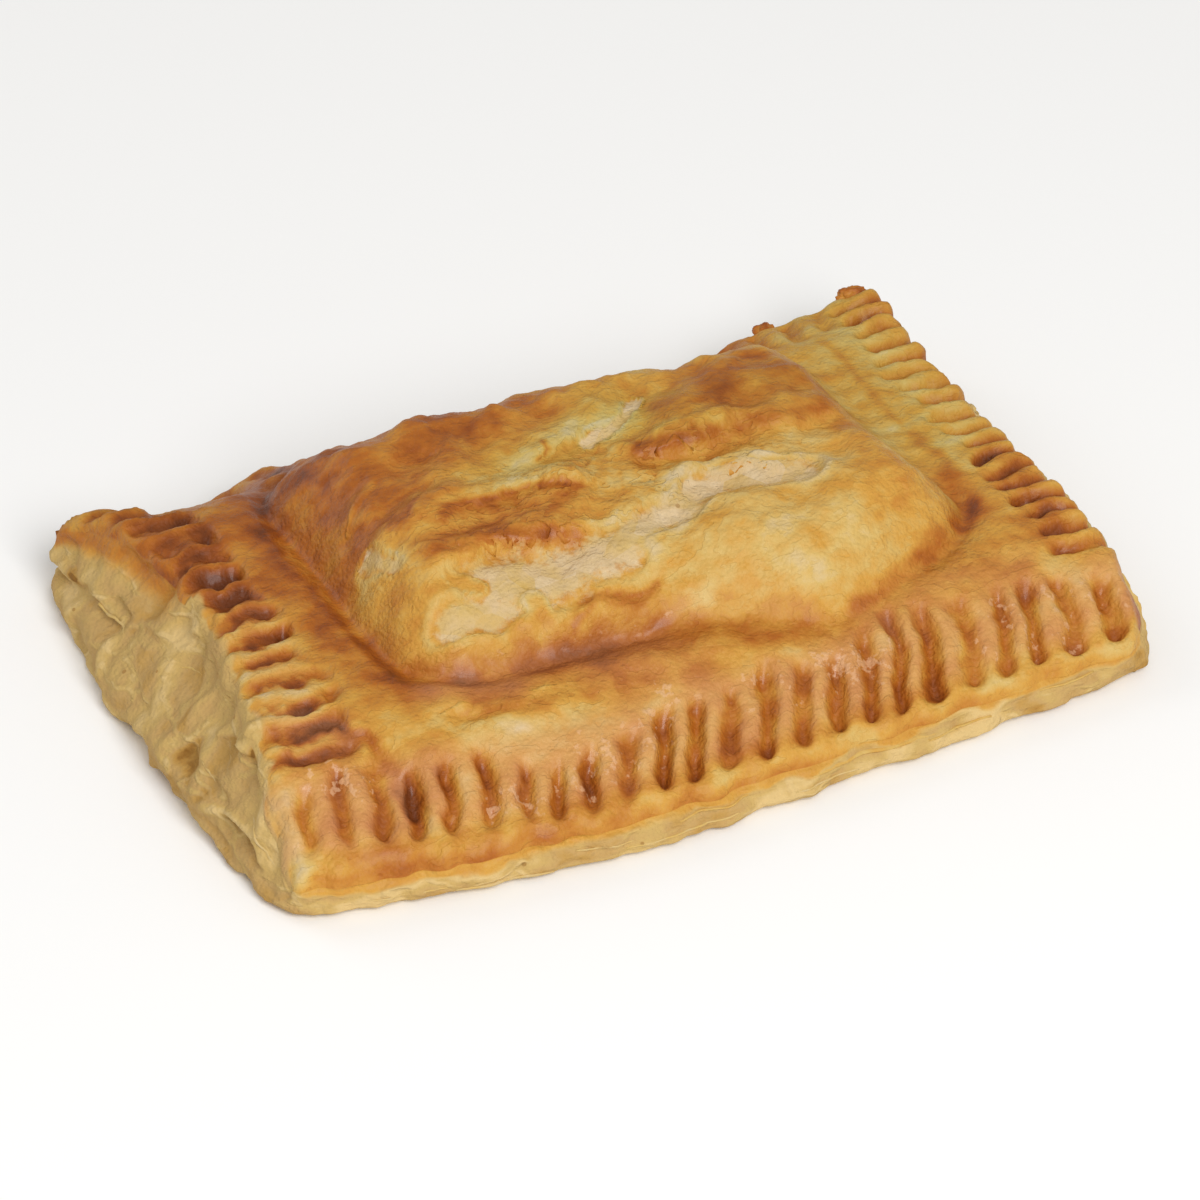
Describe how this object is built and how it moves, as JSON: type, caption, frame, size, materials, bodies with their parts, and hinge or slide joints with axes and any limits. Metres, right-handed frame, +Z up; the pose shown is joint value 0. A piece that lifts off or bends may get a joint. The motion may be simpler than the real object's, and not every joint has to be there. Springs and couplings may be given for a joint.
{
  "type": "rectangular puff pastry pie",
  "caption": "Whole filled puff pastry pie, rectangular, with a raised crown inside a fork-crimped rim and flaky layered sides.",
  "frame": {"origin": "middle of the flat underside, midway between the outermost edges", "axes": "+X along the pie towards its right end, +Y towards its back edge, +Z up"},
  "size_m": [0.1508, 0.1052, 0.0305],
  "materials": {
    "baked_pastry": "egg-washed puff pastry, golden to brown with a soft gloss on top, pale and matte where layers show"
  },
  "bodies": {
    "root": {"pie": "baked_pastry"}
  },
  "joints": []
}
